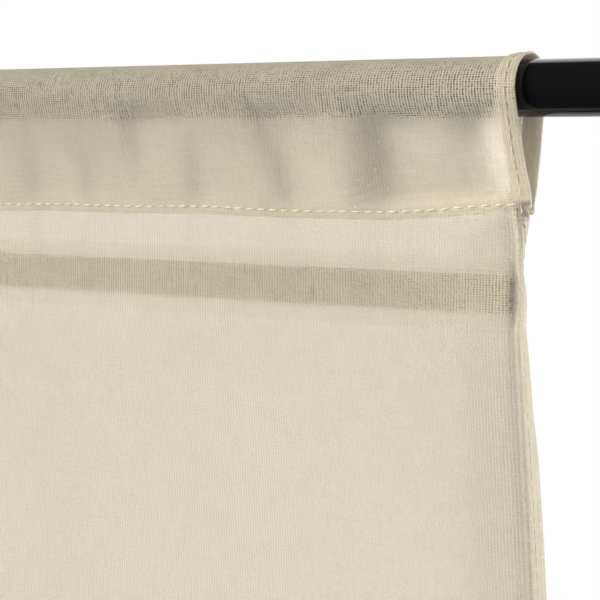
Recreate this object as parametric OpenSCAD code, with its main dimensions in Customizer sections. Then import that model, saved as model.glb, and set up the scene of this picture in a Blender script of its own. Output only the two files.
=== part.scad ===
// Roman blind of sheer woven cloth, hung by a sewn pocket on a round rod. Millimetres.
// The origin is on the rod's axis at mid length. X runs along the rod, the cloth faces -Y,
// and the blind hangs down along -Z, fully lowered.

/* [Blind] */
// Finished width of the cloth
blind_w = 600; // [450:10:800]
// Height of one fold, from batten to batten
fold_h = 265; // [220:5:300]
// Number of folds between the head batten and the bottom bar
folds = 5; // [3:1:6]

/* [Cloth] */
// Thickness of one layer of cloth
cloth_t = 0.4; // [0.3:0.05:0.6]
// Width of the double hem down each side
side_hem_w = 7.5; // [5:0.5:12]
// How far the cloth bows to the front between two battens
panel_bow = 2.5; // [1:0.5:6]
// How far a side hem curls back between two battens
hem_curl = 10; // [3:1:14]
// How far a side hem flares out between two battens
hem_flare = 2.5; // [0:0.5:5]

/* [Rod pocket] */
// Height of the pocket, from its top down to the seam
pocket_h = 43; // [38:1:60]
// Edge of the cloth that reaches below the pocket seam at the back
seam_lap = 2.4; // [1.6:0.2:5]
// Depth of the puckers between rod and seam
pucker = 1.3; // [0.5:0.1:1.8]
// Length of one pucker along the rod
pucker_pitch = 48; // [42:1:70]
// How far the pocket's two mouths stand off the rod
mouth_lift = 0.6; // [0.5:0.1:2.5]

/* [Rod] */
// Outside diameter of the rod
rod_d = 16; // [12:1:20]
// Wall of the rod's tube
rod_wall = 1; // [0.8:0.1:2]
// Bare length of rod beyond each edge of the cloth
rod_overhang = 45; // [35:5:120]
// Thickness of an end plug's flange
plug_flange_t = 2.5; // [1.5:0.5:5]
// How much smaller the flange is than the rod, on the diameter
plug_flange_step = 0.4; // [0.2:0.1:1]
// Length of an end plug's spigot inside the tube
plug_spigot_l = 14; // [8:1:25]

/* [Battens] */
// Width of a batten
batten_w = 11; // [9:0.5:15]
// Thickness of a batten
batten_t = 1.2; // [1:0.1:2.5]
// Thickness of the casing tape
casing_t = 0.4; // [0.3:0.05:0.6]
// Flat margin of a casing above and below its tunnel
casing_margin = 3.6; // [2.5:0.1:6]
// Run of a tunnel's sloping side
tunnel_slope = 1.2; // [0.5:0.1:2.5]
// Distance from the pocket seam down to the head casing
head_drop = 12.5; // [8:0.5:25]
// Distance from a casing's end to the edge of the cloth
casing_inset = 6.5; // [5:0.5:10]
// Distance from a batten's end to its casing's end
batten_inset = 0.5; // [0.5:0.5:4]

/* [Bottom bar] */
// Width of the bottom bar
bar_w = 18; // [14:1:24]
// Thickness of the bottom bar
bar_t = 3; // [2.5:0.25:5]
// Distance from a bar end to the side hem
bar_inset = 2; // [1:0.5:6]
// Height of the bottom hem above the bar
hem_head = 8; // [6:1:14]
// Edge of the cloth that reaches above the bottom hem's seam at the back
hem_lap = 2; // [1:0.5:4]

/* [Lift rings] */
// Outside diameter of a ring
ring_d = 11; // [9:0.5:13]
// Diameter of a ring's wire
ring_wire = 1.8; // [1.4:0.1:2.4]
// Distance from the edge of the cloth to each column of rings
ring_inset = 90; // [40:5:150]

/* [Fits] */
// Gap between two layers that lie on each other
lay_gap = 0.1; // [0.05:0.05:0.2]
// Gap round a stiff piece in its cloth sleeve
slide_gap = 0.3; // [0.2:0.05:0.5]
// Gap between an end plug's spigot and the tube
plug_gap = 0.05; // [0.02:0.01:0.1]

/* [Hidden] */
// Number of strips across the cloth, of straight runs up one fold and round the rod
strips = 42;
belly_runs = 3;
rod_runs = 9;
fold_round_runs = 4;
front_runs = 5;
back_runs = 4;
// Run of the step at the inner edge of a side hem
hem_step = 0.4;
// Straight rise of the bottom hem's back above the bar
bar_shoulder = 1;
// Share of the short waves in the puckers, and how much longer the long waves are
short_share = 0.6;
long_wave = 1.62;
// Where the waves start, in degrees, at the pocket's front and back
front_turn = 40;
back_turn = 130;
// Overshoot of a cut past the faces that it opens
cut = 1;
// Width over which the pocket's mouth lifts, and over which a hem curls
mouth_w = 12;
curl_w = 60;
// Radius on the corners of the battens, the bar and the plugs
corner_r = 2;
plug_edge_r = 0.8;
curve_fn = 64;

// Extra cloth that a double hem adds behind the face
hem_layers = 2 * cloth_t;
// Radius of the cloth's middle round the rod, and the level of the pocket seam
wrap_r = rod_d / 2 + slide_gap + cloth_t / 2;
seam_z = wrap_r + cloth_t / 2 - pocket_h;
// A casing: the back of the cloth, its tunnel and its whole height
casing_y = cloth_t / 2 + lay_gap;
tunnel_d = batten_t + 2 * slide_gap;
tunnel_h = batten_w + 2 * slide_gap;
casing_h = tunnel_h + 2 * tunnel_slope + 2 * casing_margin;
casing_back_y = casing_y + tunnel_d + casing_t;
casing_l = blind_w - 2 * casing_inset;
head_z = seam_z - head_drop - casing_h / 2;
// The bottom hem: level of the bar, and the middle of the hem's back layer
bar_z = head_z - folds * fold_h;
bar_y = cloth_t / 2 + slide_gap + bar_t / 2;
hem_back_y = 2 * bar_y;
hem_seam_z = bar_z + bar_w / 2 + hem_head;
bar_l = blind_w - 2 * (side_hem_w + bar_inset);

function level(k) = head_z - k * fold_h;
function unit(v) = max(0, min(1, v));
function mix(a, b, s) = a + (b - a) * s;

// Depth of hem cloth behind the face at a place across the blind
function hem_at(x) = abs(x) >= blind_w / 2 - side_hem_w ? hem_layers : 0;
// From 0 beside a batten to 1 half way to the next one
function belly(z) =
    let (fall = (head_z - z) / fold_h,
         edge = casing_h / 2 / fold_h,
         s = unit((fall - floor(fall) - edge) / (1 - 2 * edge)))
    z > head_z || z < bar_z ? 0 : pow(sin(180 * s), 2);
// From 0 inside the blind to 1 at its side edge
function near_edge(x, w) = pow(unit((abs(x) - blind_w / 2 + w) / w), 2);
// Waves of the puckers along the rod
function pucker_at(x, turn) =
    pucker * (short_share * sin(360 * x / pucker_pitch + turn)
        + (1 - short_share) * sin(360 * x / (long_wave * pucker_pitch) - 2 * turn));

// Middle of the cloth's face at one place across the blind, as points [x, y, z] along the cloth:
// up the back of the bottom hem's lap, round the bar, up the face, over the rod, down to the seam
function bottom_hem(x) =
    let (lap_y = cloth_t + lay_gap + 2 * hem_at(x),
         low = bar_z - bar_w / 2)
    [[x, lap_y, hem_seam_z + hem_lap],
     [x, lap_y, hem_seam_z],
     [x, hem_back_y, bar_z + bar_w / 2 + bar_shoulder],
     for (i = [0:fold_round_runs])
        let (a = -180 * i / fold_round_runs)
        [x, bar_y + bar_y * cos(a), low + bar_y * sin(a)]];

function face_point(x, z) =
    let (b = belly(z),
         hem_push = z < bar_z + fold_h / 2 ? 0 : hem_at(x) * (1 - b),
         curl = near_edge(x, curl_w))
    [x + sign(x) * hem_flare * b * curl, b * (hem_curl * curl - panel_bow) - hem_push, z];

function face(x) =
    [for (k = [folds - 1:-1:0])
        for (i = [0:belly_runs])
            face_point(x, mix(level(k + 1) + casing_h / 2, level(k) - casing_h / 2, i / belly_runs)),
     face_point(x, head_z + casing_h / 2)];

function rod_pocket(x) =
    let (r = (wrap_r + hem_at(x) + mouth_lift * near_edge(x, mouth_w)) / cos(90 / rod_runs),
         lap_y = cloth_t + lay_gap + 2 * hem_at(x),
         front_a = 360 + atan2(seam_z, 0) - acos(r / abs(seam_z)),
         back_a = atan2(seam_z, lap_y) + acos(r / norm([seam_z, lap_y])))
    [for (i = [0:front_runs - 1])
        let (s = i / front_runs)
        [x,
         mix(0, r * cos(front_a), s) - pucker_at(x, front_turn) * sin(180 * s),
         mix(seam_z, r * sin(front_a), s)],
     for (i = [0:rod_runs])
        let (a = mix(front_a, back_a, i / rod_runs))
        [x, r * cos(a), r * sin(a)],
     for (i = [1:back_runs])
        let (s = i / back_runs)
        [x,
         mix(r * cos(back_a), lap_y, s) + pucker_at(x, back_turn) * sin(180 * s),
         mix(r * sin(back_a), seam_z, s)],
     [x, lap_y, seam_z - seam_lap]];

function cloth_line(x) = concat(bottom_hem(x), face(x), rod_pocket(x));

// A line of points moved sideways, in the plane across the rod
function moved(line, by) =
    let (last = len(line) - 1)
    [for (j = [0:last])
        let (run = line[min(j + 1, last)] - line[max(j - 1, 0)],
             size = norm([run.y, run.z]))
        [line[j].x, line[j].y - by * run.z / size, line[j].z + by * run.y / size]];

// Places across the blind: the two hems, and even strips between them
inner_w = blind_w / 2 - side_hem_w - hem_step;
places = concat(
    [-blind_w / 2, -blind_w / 2 + side_hem_w / 2, -blind_w / 2 + side_hem_w],
    [for (i = [0:strips]) mix(-inner_w, inner_w, i / strips)],
    [blind_w / 2 - side_hem_w, blind_w / 2 - side_hem_w / 2, blind_w / 2]);

casing_names = [for (k = [0:folds - 1]) k == 0 ? "head_casing" : str("fold_casing_", k)];
batten_names = [for (k = [0:folds - 1]) k == 0 ? "head_batten" : str("fold_batten_", k)];
ring_names = [for (k = [0:folds])
    k == 0 ? "head_rings" : k == folds ? "bottom_rings" : str("fold_rings_", k)];

// One sewn length of cloth with its rod pocket, side hems and bottom hem
module blind_cloth() {
    last = len(cloth_line(0)) - 1;
    row = last + 1;
    ends = len(places) - 1;
    points = [for (x = places) each concat(
        moved(cloth_line(x), cloth_t / 2),
        moved(cloth_line(x), -cloth_t / 2 - hem_at(x)))];
    function at(i, side, j) = (2 * i + side) * row + j;
    function quad(a, b, c, d) = [[a, b, c], [a, c, d]];
    faces = concat(
        [for (i = [0:ends - 1], j = [0:last - 1]) each concat(
            quad(at(i, 0, j), at(i, 0, j + 1), at(i + 1, 0, j + 1), at(i + 1, 0, j)),
            quad(at(i, 1, j), at(i + 1, 1, j), at(i + 1, 1, j + 1), at(i, 1, j + 1)))],
        [for (i = [0:ends - 1]) each concat(
            quad(at(i, 0, 0), at(i + 1, 0, 0), at(i + 1, 1, 0), at(i, 1, 0)),
            quad(at(i, 0, last), at(i, 1, last), at(i + 1, 1, last), at(i + 1, 0, last)))],
        [for (j = [0:last - 1]) each concat(
            quad(at(0, 0, j), at(0, 1, j), at(0, 1, j + 1), at(0, 0, j + 1)),
            quad(at(ends, 0, j), at(ends, 0, j + 1), at(ends, 1, j + 1), at(ends, 1, j)))]);
    color([0.86, 0.83, 0.75])
        polyhedron(points, faces, convexity = 10);
}

// Length of the tube, end to end
rod_l = blind_w + 2 * rod_overhang;

module curtain_rod() {
    color([0.06, 0.06, 0.06])
        rotate([0, 90, 0])
        difference() {
            cylinder(h = rod_l, d = rod_d, center = true, $fn = curve_fn);
            cylinder(h = rod_l + 2 * cut, d = rod_d - 2 * rod_wall, center = true, $fn = curve_fn);
        }
}

// A moulded plug that closes the end of the tube, turned from one profile
module rod_plug(side) {
    flange_r = (rod_d - plug_flange_step) / 2;
    spigot_r = rod_d / 2 - rod_wall - plug_gap;
    color([0.08, 0.08, 0.08])
        translate([side * rod_l / 2, 0, 0])
        rotate([0, side * 90, 0])
        rotate_extrude($fn = curve_fn)
        union() {
            translate([0, -plug_spigot_l])
                square([spigot_r, plug_spigot_l]);
            square([flange_r, plug_flange_t - plug_edge_r]);
            square([flange_r - plug_edge_r, plug_flange_t]);
            translate([flange_r - plug_edge_r, plug_flange_t - plug_edge_r])
                circle(plug_edge_r, $fn = curve_fn);
        }
}

// A flat strip on edge along X with round corners, its face at y
module strip(length, height, thick, y, z) {
    translate([0, y + thick, z])
        rotate([90, 0, 0])
        linear_extrude(thick)
        union() {
            square([length, height - 2 * corner_r], center = true);
            square([length - 2 * corner_r, height], center = true);
            for (sx = [-1, 1], sz = [-1, 1])
                translate([sx * (length / 2 - corner_r), sz * (height / 2 - corner_r)])
                    circle(corner_r, $fn = curve_fn);
        }
}

module batten(k) {
    color([0.62, 0.58, 0.5])
        strip(casing_l - 2 * batten_inset, batten_w, batten_t, casing_y + slide_gap, level(k));
}

module bottom_bar() {
    color([0.75, 0.75, 0.76])
        strip(bar_l, bar_w, bar_t, bar_y - bar_t / 2, bar_z);
}

// A tape sewn flat on the back of the cloth, with a tunnel for its batten
module casing(k) {
    half = casing_h / 2;
    foot = tunnel_h / 2 + tunnel_slope;
    top = tunnel_h / 2;
    inside = [[0, half], [0, foot], [tunnel_d, top], [tunnel_d, -top], [0, -foot], [0, -half]];
    outside = [for (i = [len(inside) - 1:-1:0]) inside[i] + [casing_t, 0]];
    color([0.85, 0.82, 0.74])
        translate([-casing_l / 2, casing_y, level(k)])
        rotate([90, 0, 90])
        linear_extrude(casing_l)
        polygon(concat(inside, outside));
}

// The two cord rings of one level, flat against the cloth's back
module rings(k) {
    seat_y = k == folds ? hem_back_y + cloth_t / 2 : casing_back_y;
    color([0.92, 0.92, 0.9])
        for (side = [-1, 1])
            translate([side * (blind_w / 2 - ring_inset), seat_y + lay_gap + ring_wire / 2, level(k)])
            rotate([90, 0, 0])
            rotate_extrude($fn = curve_fn)
            translate([(ring_d - ring_wire) / 2, 0])
            circle(d = ring_wire, $fn = curve_fn);
}

blind_cloth();
curtain_rod();
rod_plug(-1);  // rod_plug_left
rod_plug(1);  // rod_plug_right
bottom_bar();
for (k = [0:folds - 1])
    casing(k);
for (k = [0:folds - 1])
    batten(k);
for (k = [0:folds])
    rings(k);
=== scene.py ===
# %% [markdown]
# # A roman blind of sheer cloth
# The blind hangs by a sewn pocket on a round black rod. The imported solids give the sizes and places, and
# this lesson dresses them: one flat cut of cloth is folded and hung, tapes are laid over the battens, every
# seam gets its stitches, and the rod gets its paint. Lengths are worked out in millimetres, as a blind is
# measured, and each finished mesh is scaled to metres by one operator.

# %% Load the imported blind
import math
import random

import bmesh
import bpy
from mathutils import Matrix, Vector


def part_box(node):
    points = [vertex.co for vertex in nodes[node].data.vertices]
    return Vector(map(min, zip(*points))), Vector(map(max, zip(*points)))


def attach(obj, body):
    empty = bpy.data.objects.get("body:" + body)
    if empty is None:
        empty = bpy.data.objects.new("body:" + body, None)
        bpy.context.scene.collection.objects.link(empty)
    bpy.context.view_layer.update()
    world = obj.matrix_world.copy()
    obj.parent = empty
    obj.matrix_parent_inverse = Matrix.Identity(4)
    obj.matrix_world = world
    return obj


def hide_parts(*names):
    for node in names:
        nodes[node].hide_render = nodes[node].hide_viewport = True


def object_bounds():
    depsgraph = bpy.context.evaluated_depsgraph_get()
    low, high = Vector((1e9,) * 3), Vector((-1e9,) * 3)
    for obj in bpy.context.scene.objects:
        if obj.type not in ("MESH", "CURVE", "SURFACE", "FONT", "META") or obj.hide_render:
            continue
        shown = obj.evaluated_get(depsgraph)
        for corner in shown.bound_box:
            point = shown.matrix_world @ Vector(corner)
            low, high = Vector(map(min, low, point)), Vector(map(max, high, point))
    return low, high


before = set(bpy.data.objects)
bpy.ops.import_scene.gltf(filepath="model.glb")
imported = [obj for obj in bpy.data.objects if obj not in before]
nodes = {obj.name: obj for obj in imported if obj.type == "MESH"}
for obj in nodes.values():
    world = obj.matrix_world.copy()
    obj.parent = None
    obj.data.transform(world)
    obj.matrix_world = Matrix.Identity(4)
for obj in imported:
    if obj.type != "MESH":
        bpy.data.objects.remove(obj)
cad_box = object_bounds()
MM = 0.001


def box_mm(node):
    """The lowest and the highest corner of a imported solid, in millimetres."""
    low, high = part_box(node)
    return low / MM, high / MM


print("packed solids:", len(nodes))

# %% [markdown]
# ## What the frame tells us
# A dresser's first job is to read the sizes off the solids instead of typing them again. The rod gives its
# radius, the tapes give the levels of the folds, and the bar gives the bottom hem.

# %% Sizes from the frame
rod_low, rod_high = box_mm("curtain_rod")
rod_r = (rod_high.z - rod_low.z) / 2
BATTENS = ["head_batten"] + [name for name in sorted(nodes) if name.startswith("fold_batten_")]
CASINGS = [name.replace("batten", "casing") for name in BATTENS]
RINGS = [name.replace("batten", "rings") for name in BATTENS] + ["bottom_rings"]
levels = [(box_mm(name)[0].z + box_mm(name)[1].z) / 2 for name in BATTENS]
tape_low, tape_high = box_mm("head_casing")
tape_h = tape_high.z - tape_low.z
CASING_INSET = 6.5  # from a tape's end to the edge of the cloth
EDGE_EASE = 2.5  # worn cloth relaxes a little wider than its pattern
pattern_half = tape_high.x + CASING_INSET
half_w = pattern_half + EDGE_EASE
bar_low, bar_high = box_mm("bottom_bar")
bar_z = (bar_low.z + bar_high.z) / 2
fold_h = levels[0] - levels[1]
print(f"cloth {2 * pattern_half:.0f} mm wide, {len(levels)} battens, one every {fold_h:.0f} mm")

# %% [markdown]
# ## Small helpers
# Each piece starts as a bmesh in millimetres. This helper scales it, turns it into an object at the origin,
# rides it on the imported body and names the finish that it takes.


# %% Finish a piece
def finish_piece(bm, name, material, stands_for=(), sharp_deg=None):
    """Turns a bmesh in millimetres into a finished piece of the blind."""
    bmesh.ops.scale(bm, vec=(MM, MM, MM), verts=bm.verts)
    mesh = bpy.data.meshes.new(name)
    bm.to_mesh(mesh)
    bm.free()
    mesh.shade_smooth()
    if sharp_deg is not None:
        mesh.set_sharp_from_angle(angle=math.radians(sharp_deg))
    mesh.materials.append(material)
    piece = bpy.data.objects.new(name, mesh)
    bpy.context.scene.collection.objects.link(piece)
    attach(piece, "root")
    if stands_for:
        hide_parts(*stands_for)
    return piece


def smooth_step(start, end, value):
    """From 0 at start to 1 at end, with soft ends."""
    share = max(0.0, min(1.0, (value - start) / (end - start)))
    return share * share * (3 - 2 * share)


def blend(a, b, share):
    return a + (b - a) * share


# %% [markdown]
# ## A weave that more than one finish shares
# Sheer cloth is a plain weave with gaps: threads cross over and under, and light passes between them. A
# picture of cloth would blur up close, so the threads are worked out from the cloth's own UV map, which is
# in metres. The group puts out where a thread covers, how high it stands and how its tone drifts.


# %% Node helpers
def wire(tree, value, socket):
    """Links a socket, or sets a plain value."""
    if isinstance(value, bpy.types.NodeSocket):
        tree.links.new(value, socket)
    else:
        socket.default_value = value


def math_node(tree, operation, a, b=0.0, c=0.0):
    node = tree.nodes.new("ShaderNodeMath")
    node.operation = operation
    for socket, value in zip(node.inputs, (a, b, c)):
        wire(tree, value, socket)
    return node.outputs[0]


def noise_node(tree, vector, scale, detail=2.0):
    node = tree.nodes.new("ShaderNodeTexNoise")
    wire(tree, vector, node.inputs["Vector"])
    node.inputs["Scale"].default_value = scale
    node.inputs["Detail"].default_value = detail
    return node.outputs["Fac"]


def combine_node(tree, x, y, z=0.0):
    node = tree.nodes.new("ShaderNodeCombineXYZ")
    for socket, value in zip(node.inputs, (x, y, z)):
        wire(tree, value, socket)
    return node.outputs[0]


def range_node(tree, value, low, high, to_low, to_high):
    node = tree.nodes.new("ShaderNodeMapRange")
    node.interpolation_type = "SMOOTHSTEP"
    for socket, given in zip(node.inputs, (value, low, high, to_low, to_high)):
        wire(tree, given, socket)
    return node.outputs[0]


def mix_colour(tree, share, a, b):
    node = tree.nodes.new("ShaderNodeMix")
    node.data_type = "RGBA"
    wire(tree, share, node.inputs[0])
    node.inputs[6].default_value = (*a, 1.0)
    node.inputs[7].default_value = (*b, 1.0)
    return node.outputs[2]


# %% The plain weave group
STRAY_SCALE = 340.0  # how finely the threads wander, per metre
STRAY = (1.0 * MM, 0.8 * MM, 0)  # how far they wander, across and along
GAP_DRIFT = 0.3  # how much one gap differs from the next, as a share of the pitch
THREAD_BLUR = 0.10  # half of a thread's soft edge
SLUB_PITCH = 0.08  # slow places along a thread, per crossing


def make_weave_group():
    group = bpy.data.node_groups.new("plain_weave", "ShaderNodeTree")
    face = group.interface
    face.new_socket("Cloth", in_out="INPUT", socket_type="NodeSocketVector")
    for name in ("Warp Pitch", "Weft Pitch", "Thread Width", "Slub"):
        face.new_socket(name, in_out="INPUT", socket_type="NodeSocketFloat")
    for name in ("Cover", "Height", "Tone"):
        face.new_socket(name, in_out="OUTPUT", socket_type="NodeSocketFloat")
    given = group.nodes.new("NodeGroupInput").outputs
    result = group.nodes.new("NodeGroupOutput").inputs

    wander = group.nodes.new("ShaderNodeTexNoise")
    wander.inputs["Scale"].default_value = STRAY_SCALE
    wander.inputs["Detail"].default_value = 3.0
    wander.inputs["Roughness"].default_value = 0.7
    group.links.new(given["Cloth"], wander.inputs["Vector"])
    strayed = group.nodes.new("ShaderNodeVectorMath")
    strayed.operation = "MULTIPLY_ADD"
    group.links.new(wander.outputs["Color"], strayed.inputs[0])
    strayed.inputs[1].default_value = STRAY
    group.links.new(given["Cloth"], strayed.inputs[2])
    split = group.nodes.new("ShaderNodeSeparateXYZ")
    group.links.new(strayed.outputs[0], split.inputs[0])
    across = math_node(group, "DIVIDE", split.outputs[0], given["Warp Pitch"])
    along = math_node(group, "DIVIDE", split.outputs[1], given["Weft Pitch"])
    warp_id = math_node(group, "FLOOR", across)
    weft_id = math_node(group, "FLOOR", along)
    gap_id = combine_node(group, math_node(group, "ROUND", across), math_node(group, "ROUND", along))
    pinch = group.nodes.new("ShaderNodeTexWhiteNoise")
    group.links.new(gap_id, pinch.inputs["Vector"])
    gap_drift = math_node(group, "SUBTRACT", pinch.outputs["Value"], 0.5)
    gap_drift = math_node(group, "MULTIPLY", gap_drift, GAP_DRIFT)

    def off_centre(place):
        """0 on a thread's middle, 1 half way to the next thread."""
        part = math_node(group, "SUBTRACT", math_node(group, "FRACT", place), 0.5)
        return math_node(group, "MULTIPLY", math_node(group, "ABSOLUTE", part), 2.0)

    def slub(thread_id, run):
        """Slow thick and thin places along one thread."""
        lane = math_node(group, "MULTIPLY", thread_id, 3.17)
        place = combine_node(group, lane, math_node(group, "MULTIPLY", run, SLUB_PITCH))
        return noise_node(group, place, 1.0, 1.0)

    def thread(place, slub_value):
        """1 where a thread covers, 0 in the gap beside it."""
        drift = math_node(group, "MULTIPLY", math_node(group, "SUBTRACT", slub_value, 0.5), given["Slub"])
        width = math_node(group, "ADD", math_node(group, "ADD", given["Thread Width"], drift), gap_drift)
        covered = math_node(group, "SUBTRACT", width, THREAD_BLUR)
        open_gap = math_node(group, "ADD", width, THREAD_BLUR)
        return range_node(group, off_centre(place), covered, open_gap, 1.0, 0.0)

    def crossing(run, thread_id, sign):
        """How high a thread rides as it passes over and under."""
        turn = math_node(group, "ADD", math_node(group, "SUBTRACT", run, 0.5), thread_id)
        wave = math_node(group, "COSINE", math_node(group, "MULTIPLY", turn, math.pi))
        return math_node(group, "MULTIPLY_ADD", wave, 0.5 * sign, 0.5)

    warp_slub = slub(warp_id, along)
    weft_slub = slub(math_node(group, "ADD", weft_id, 71.0), across)
    warp = thread(across, warp_slub)
    weft = thread(along, weft_slub)
    warp_top = math_node(group, "MULTIPLY", warp, crossing(along, warp_id, 1.0))
    weft_top = math_node(group, "MULTIPLY", weft, crossing(across, weft_id, -1.0))
    group.links.new(math_node(group, "MAXIMUM", warp, weft), result["Cover"])
    group.links.new(math_node(group, "MAXIMUM", warp_top, weft_top), result["Height"])
    tone = math_node(group, "MULTIPLY", math_node(group, "ADD", warp_slub, weft_slub), 0.5)
    group.links.new(tone, result["Tone"])
    return group


weave_group = make_weave_group()
print("weave group:", len(weave_group.nodes), "nodes")


# %% [markdown]
# ## Cloth finishes
# Sheer cloth shows light in three ways: threads scatter the light that falls on them, they glow with light
# from behind, and the gaps show what is behind. A Principled BSDF does the first, a Translucent BSDF the
# second and a Transparent BSDF the third, mixed by the weave's cover. Its colour drifts at random in tone
# and also carries painted light: paler on the thread crowns, darker in the valleys between them. The same
# maker gives the tape of the casings.


# %% Woven finish
def woven_finish(name, warp_mm, weft_mm, width, slub, dark, light, glow, glow_share):
    material = bpy.data.materials.new(name)
    material.use_nodes = True
    tree = material.node_tree
    skin = tree.nodes["Principled BSDF"]
    uv = tree.nodes.new("ShaderNodeUVMap")
    uv.uv_map = "cloth"
    weave = tree.nodes.new("ShaderNodeGroup")
    weave.node_tree = weave_group
    tree.links.new(uv.outputs[0], weave.inputs["Cloth"])
    weave.inputs["Warp Pitch"].default_value = warp_mm * MM
    weave.inputs["Weft Pitch"].default_value = weft_mm * MM
    weave.inputs["Thread Width"].default_value = width
    weave.inputs["Slub"].default_value = slub
    mottle = noise_node(tree, uv.outputs[0], 18.0, 3.0)
    drift = math_node(tree, "ADD", math_node(tree, "MULTIPLY", weave.outputs["Tone"], 0.7),
                      math_node(tree, "MULTIPLY", mottle, 0.3))
    # painted light: the weave's height pales the thread crowns and darkens the valleys between them, on top
    # of the random tone drift
    painted_crown_light = math_node(tree, "MULTIPLY", weave.outputs["Height"], 0.35)
    tone_and_painted_light = math_node(tree, "ADD", range_node(tree, drift, 0.3, 0.7, 0.0, 0.65), painted_crown_light)
    tree.links.new(mix_colour(tree, tone_and_painted_light, dark, light), skin.inputs["Base Color"])
    skin.inputs["Roughness"].default_value = 0.85
    skin.inputs["Specular IOR Level"].default_value = 0.2
    skin.inputs["Sheen Weight"].default_value = 0.08
    skin.inputs["Sheen Roughness"].default_value = 0.5
    bump = tree.nodes.new("ShaderNodeBump")
    bump.inputs["Strength"].default_value = 0.35
    bump.inputs["Distance"].default_value = 0.15 * MM
    tree.links.new(weave.outputs["Height"], bump.inputs["Height"])
    tree.links.new(bump.outputs[0], skin.inputs["Normal"])
    through = tree.nodes.new("ShaderNodeBsdfTranslucent")
    through.inputs["Color"].default_value = (*glow, 1.0)
    lit = tree.nodes.new("ShaderNodeMixShader")
    lit.inputs[0].default_value = glow_share
    tree.links.new(skin.outputs[0], lit.inputs[1])
    tree.links.new(through.outputs[0], lit.inputs[2])
    gap = tree.nodes.new("ShaderNodeBsdfTransparent")
    whole = tree.nodes.new("ShaderNodeMixShader")
    tree.links.new(weave.outputs["Cover"], whole.inputs[0])
    tree.links.new(gap.outputs[0], whole.inputs[1])
    tree.links.new(lit.outputs[0], whole.inputs[2])
    tree.links.new(whole.outputs[0], tree.nodes["Material Output"].inputs["Surface"])
    return material


sheer_cloth = woven_finish("sheer_cloth", 0.95, 0.68, 0.57, 0.45,
                           (0.75, 0.725, 0.625), (0.93, 0.905, 0.79), (0.90, 0.88, 0.85), 0.63)
casing_tape = woven_finish("casing_tape", 0.50, 0.50, 0.15, 0.02,
                           (0.84, 0.81, 0.72), (0.93, 0.91, 0.83), (0.95, 0.935, 0.91), 0.6)

# %% [markdown]
# ## Hard finishes
# The rod is black powder coat: glossy, with a faint orange peel. Plugs and battens are moulded or drawn
# plastic, the bar is plain aluminium with lengthwise drawing lines, and the rings are pale plastic. One
# small group gives all of them a fine grain for tone, roughness and height, read from Object coordinates.


# %% The grain group
def make_grain_group():
    group = bpy.data.node_groups.new("fine_grain", "ShaderNodeTree")
    face = group.interface
    face.new_socket("Place", in_out="INPUT", socket_type="NodeSocketVector")
    face.new_socket("Scale", in_out="INPUT", socket_type="NodeSocketFloat")
    face.new_socket("Grain", in_out="OUTPUT", socket_type="NodeSocketFloat")
    face.new_socket("Cloud", in_out="OUTPUT", socket_type="NodeSocketFloat")
    given = group.nodes.new("NodeGroupInput").outputs
    result = group.nodes.new("NodeGroupOutput").inputs
    fine = group.nodes.new("ShaderNodeTexNoise")
    group.links.new(given["Place"], fine.inputs["Vector"])
    group.links.new(given["Scale"], fine.inputs["Scale"])
    fine.inputs["Detail"].default_value = 3.0
    group.links.new(fine.outputs["Fac"], result["Grain"])
    group.links.new(noise_node(group, given["Place"], 25.0), result["Cloud"])
    return group


grain_group = make_grain_group()


def hard_finish(name, dark, light, roughness, grain_scale, grain_depth_mm, stretch=(1, 1, 1), metallic=0.0,
                specular=0.5):
    material = bpy.data.materials.new(name)
    material.use_nodes = True
    tree = material.node_tree
    skin = tree.nodes["Principled BSDF"]
    place = tree.nodes.new("ShaderNodeTexCoord")
    mapping = tree.nodes.new("ShaderNodeMapping")
    mapping.inputs["Scale"].default_value = stretch
    tree.links.new(place.outputs["Object"], mapping.inputs[0])
    grain = tree.nodes.new("ShaderNodeGroup")
    grain.node_tree = grain_group
    tree.links.new(mapping.outputs[0], grain.inputs["Place"])
    grain.inputs["Scale"].default_value = grain_scale
    tree.links.new(mix_colour(tree, grain.outputs["Cloud"], dark, light), skin.inputs["Base Color"])
    low, high = roughness
    tree.links.new(range_node(tree, grain.outputs["Grain"], 0.3, 0.7, low, high), skin.inputs["Roughness"])
    skin.inputs["Metallic"].default_value = metallic
    skin.inputs["Specular IOR Level"].default_value = specular
    bump = tree.nodes.new("ShaderNodeBump")
    bump.inputs["Strength"].default_value = 0.25
    bump.inputs["Distance"].default_value = grain_depth_mm * MM
    tree.links.new(grain.outputs["Grain"], bump.inputs["Height"])
    tree.links.new(bump.outputs[0], skin.inputs["Normal"])
    return material


rod_paint = hard_finish("rod_paint", (0.004, 0.004, 0.005), (0.007, 0.007, 0.008), (0.10, 0.16), 900.0, 0.02,
                        specular=0.35)
plug_plastic = hard_finish("plug_plastic", (0.010, 0.010, 0.011), (0.018, 0.018, 0.019), (0.4, 0.55),
                           1400.0, 0.05)
batten_plastic = hard_finish("batten_plastic", (0.34, 0.315, 0.26), (0.42, 0.39, 0.32), (0.4, 0.5),
                             300.0, 0.05, stretch=(0.05, 1, 1))
bar_metal = hard_finish("bar_metal", (0.55, 0.55, 0.57), (0.66, 0.66, 0.68), (0.3, 0.45), 600.0, 0.03,
                        stretch=(0.03, 1, 1), metallic=1.0)
ring_plastic = hard_finish("ring_plastic", (0.74, 0.73, 0.69), (0.82, 0.81, 0.77), (0.25, 0.35), 500.0, 0.02)
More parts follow.
